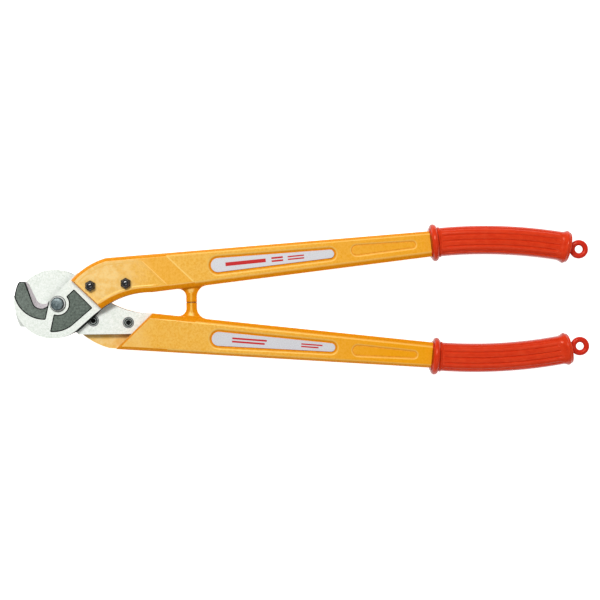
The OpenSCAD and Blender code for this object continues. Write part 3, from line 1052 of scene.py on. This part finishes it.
def vinyl(name, dark, light, glow):
    """Soft dipped vinyl with a fine grain, faint streaks, and steep sides darkened as painted shade."""
    f = Finish(name, Specular_IOR_Level=0.3, Specular_Tint=srgb(255, 200, 176))
    streak = f.spread(f.noise(330, 5.0, 0.6, (0.5, 1, 1)), 0.3, 0.7)
    grime = f.spread(f.noise(60, 4.0, 0.6), 0.45, 0.75)
    tone = f.blend(streak, dark, light)
    tone = f.blend(f.math("MULTIPLY", grime, 0.2), tone, glow)
    # Painted shade: steep side faces are darkened towards deep red.
    side_shade = f.spread(f.math("ABSOLUTE", f.coordinate("Z", "Normal")), 0.6, 0.1)
    f.colour(f.blend(f.math("MULTIPLY", side_shade, 0.75), tone, srgb(120, 14, 4)))
    f.roughness(f.spread(streak, 0, 1, 0.2, 0.27))
    f.normal(f.bump(f.noise(900, 3.0, 0.6), 0.04, 0.4))
    return f.material


def metal(name, dark, light, roughness, metallic, scale, bump_mm=0.02, specular=0.5, side=None):
    """Steel or paint with a fine speckle and uneven polish; side, where given, is a dark colour painted on
    its steep faces as shade.
    """
    f = Finish(name, Metallic=metallic, Specular_IOR_Level=specular)
    speckle = f.spread(f.noise(scale, 6.0, 0.75), 0.38, 0.64)
    cloud = f.spread(f.noise(scale / 12, 3.0, 0.5), 0.3, 0.7)
    tone = f.blend(speckle, dark, light)
    tone = f.blend(f.math("MULTIPLY", cloud, 0.25), tone, light)
    if side:
        # Painted shade: steep faces are darkened towards the side colour.
        side_shade = f.spread(f.math("ABSOLUTE", f.coordinate("Z", "Normal")), 0.93, 0.8)
        tone = f.blend(f.math("MULTIPLY", side_shade, 0.9), tone, side)
    f.colour(tone)
    f.roughness(f.spread(speckle, 0, 1, roughness + 0.08, roughness - 0.05))
    f.normal(f.bump(f.noise(scale * 2, 3.0, 0.7), bump_mm, 0.5))
    return f.material


HANDLE_PLASTIC = handle_plastic()
GRIP_VINYL = vinyl("red_grip_vinyl", srgb(210, 48, 16), srgb(220, 60, 24), srgb(226, 80, 44))
EYE_PLASTIC = vinyl("red_eye_plastic", srgb(202, 34, 16), srgb(214, 46, 26), srgb(222, 62, 38))
GROUND_STEEL = metal("ground_blade_steel", srgb(216, 225, 213), srgb(250, 253, 248), 0.5, 0.08, 480, 0.03)
BLADE_PAINT = metal("grey_green_paint", srgb(62, 72, 64), srgb(112, 124, 114), 0.5, 0.0, 480, 0.04, 0.3)
# Near-black painted shade for the blades' steep walls, recess edging and heel, and for the screws' sockets,
# grooves and edges.
DARK_EDGE_SHADE = metal("near_black_painted_shade", srgb(10, 12, 11), srgb(30, 34, 32), 0.7, 0.0, 700, 0.03, 0.08)
BEVEL_STEEL = metal("ground_bevel_steel", srgb(176, 168, 172), srgb(222, 214, 218), 0.4, 0.3, 600, 0.02)
# The last colour of the pivot, washer and screw steels is painted shade for their steep faces.
PIVOT_STEEL = metal("mottled_pivot_steel", srgb(44, 60, 64), srgb(134, 150, 152), 0.4, 0.2, 420, 0.02, 0.5,
                    srgb(34, 40, 44))
WASHER_STEEL = metal("pale_washer_steel", srgb(206, 212, 208), srgb(240, 243, 240), 0.4, 0.2, 500, 0.02, 0.5,
                     srgb(40, 46, 46))
SCREW_STEEL = metal("dark_screw_steel", srgb(118, 128, 124), srgb(176, 184, 180), 0.42, 0.2, 600, 0.02, 0.5,
                    srgb(38, 44, 42))
BLACK_NUT = metal("black_nut_finish", srgb(8, 8, 10), srgb(20, 20, 23), 0.08, 0.0, 600, 0.006, 1.0)
SILVER_PLATE = metal("satin_silver_plate", srgb(206, 206, 210), srgb(230, 230, 234), 0.34, 0.3, 900, 0.01)
PLATE_RED = metal("red_stripe_paint", srgb(190, 16, 20), srgb(206, 34, 36), 0.45, 0.0, 700, 0.01, 0.3)


# ---- CAD nodes that stay, with finer edges ----

def finish_node(name, material, bevel_mm):
    node = frame["nodes"][name]
    node.data.materials.clear()
    node.data.materials.append(material)
    weld = node.modifiers.new("weld", "WELD")
    weld.merge_threshold = 0.005 * MM
    soften(node, bevel_mm)


# ---- stage ----

def area_light(name, at, size, energy):
    light = bpy.data.lights.new(name, "AREA")
    light.shape = "RECTANGLE"
    light.size, light.size_y = size
    light.energy = energy
    lamp = linked(name, light)
    lamp.location = at
    aim = Vector((0, 0, PIVOT.z)) - Vector(at)
    lamp.rotation_euler = aim.to_track_quat("-Z", "Y").to_euler()


def studio():
    world = bpy.data.worlds.new("soft_room")
    bpy.context.scene.world = world
    world.use_nodes = True
    background = world.node_tree.nodes["Background"]
    background.inputs["Color"].default_value = (1, 1, 1, 1)
    background.inputs["Strength"].default_value = ROOM_LIGHT
    area_light("key", *KEY_LIGHT)
    area_light("fill", *FILL_LIGHT)


def floor():
    mesh = bpy.data.meshes.new("floor")
    h = FLOOR_HALF
    mesh.from_pydata([(-h, -h, 0), (h, -h, 0), (h, h, 0), (-h, h, 0)], [], [(0, 1, 2, 3)])
    plane = linked("floor", mesh)
    f = Finish("pale_floor", Specular_IOR_Level=0.1)
    f.colour(f.blend(f.noise(6, 2.0), srgb(206, 206, 206), srgb(210, 210, 210)))
    f.roughness(0.9)
    f.shader.inputs["Emission Color"].default_value = (1, 1, 1, 1)
    f.shader.inputs["Emission Strength"].default_value = FLOOR_GLOW
    mesh.materials.append(f.material)


def camera():
    data = bpy.data.cameras.new("camera")
    data.sensor_width = 36
    data.lens = CAMERA_LENS
    data.clip_end = 20
    view = linked("camera", data)
    view.location = CAMERA_AT
    view.rotation_euler = (0, 0, math.radians(CAMERA_TURN))
    bpy.context.scene.camera = view
    bpy.context.scene.view_settings.view_transform = "Standard"


# ---- making ----

camera()
studio()
floor()
for half in (UPPER, LOWER):
    blade(half)
    handle(half)
    grip(half)
    hang_eye(half)
    name_plate(half)
    for place in SCREWS:
        cap_nut(half, place)
        tang_screw(half, place)
plate_print(UPPER, UPPER_STRIPES)
plate_print(LOWER, LOWER_STRIPES)
pivot_bolt()
pivot_washer()
pivot_nut()
finish_node("pivot_spring_washer", PIVOT_STEEL, 0.15)
